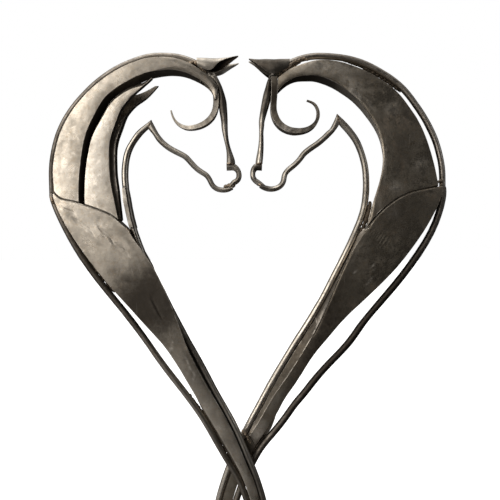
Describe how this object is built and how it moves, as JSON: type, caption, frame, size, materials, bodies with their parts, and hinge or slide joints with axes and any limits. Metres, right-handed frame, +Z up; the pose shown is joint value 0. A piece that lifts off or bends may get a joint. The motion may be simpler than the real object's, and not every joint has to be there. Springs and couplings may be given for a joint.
{
  "type": "metal horse sculpture",
  "caption": "Forged steel sculpture of facing horses whose heads, necks and crossing bodies close a heart, on a low base plate.",
  "frame": {"origin": "centre of the bounding box at its underside, on the base plate's underside", "axes": "+Z up; the work faces -Y; +X to the viewer's right"},
  "size_m": [0.9916, 0.26, 1.28],
  "materials": {
    "blade": "hand-forged, waxed bare steel, warm and worn bright",
    "dark_plate": "forged steel with dark brown oxide and fine light scratches",
    "rod": "round steel rod, brown-black with rubbed edges",
    "bar": "forged square bar, rubbed light on its faces",
    "base": "dark oiled steel plate"
  },
  "bodies": {
    "root": {"left_crest_rod": "rod", "left_back_rod": "rod", "left_outer_neck_blade": "blade", "left_inner_neck_leaf_front": "blade", "left_inner_neck_leaf_back": "blade", "left_shoulder": "blade", "left_cheek_curl": "blade", "left_face_bar": "bar", "left_nose_bar": "bar", "left_jaw_bar": "bar", "left_throat_bar": "bar", "left_throat_rib_front": "bar", "left_throat_rib_back": "bar", "left_ear_front": "bar", "left_ear_back": "bar", "right_crest_rod": "rod", "right_back_rod": "rod", "right_neck": "dark_plate", "right_shoulder": "dark_plate", "right_stem": "dark_plate", "right_cheek_curl": "dark_plate", "right_face_bar": "bar", "right_nose_bar": "bar", "right_jaw_bar": "bar", "right_throat_bar": "bar", "right_ear_front": "bar", "right_ear_back": "bar", "base_plate": "base"}
  },
  "joints": []
}
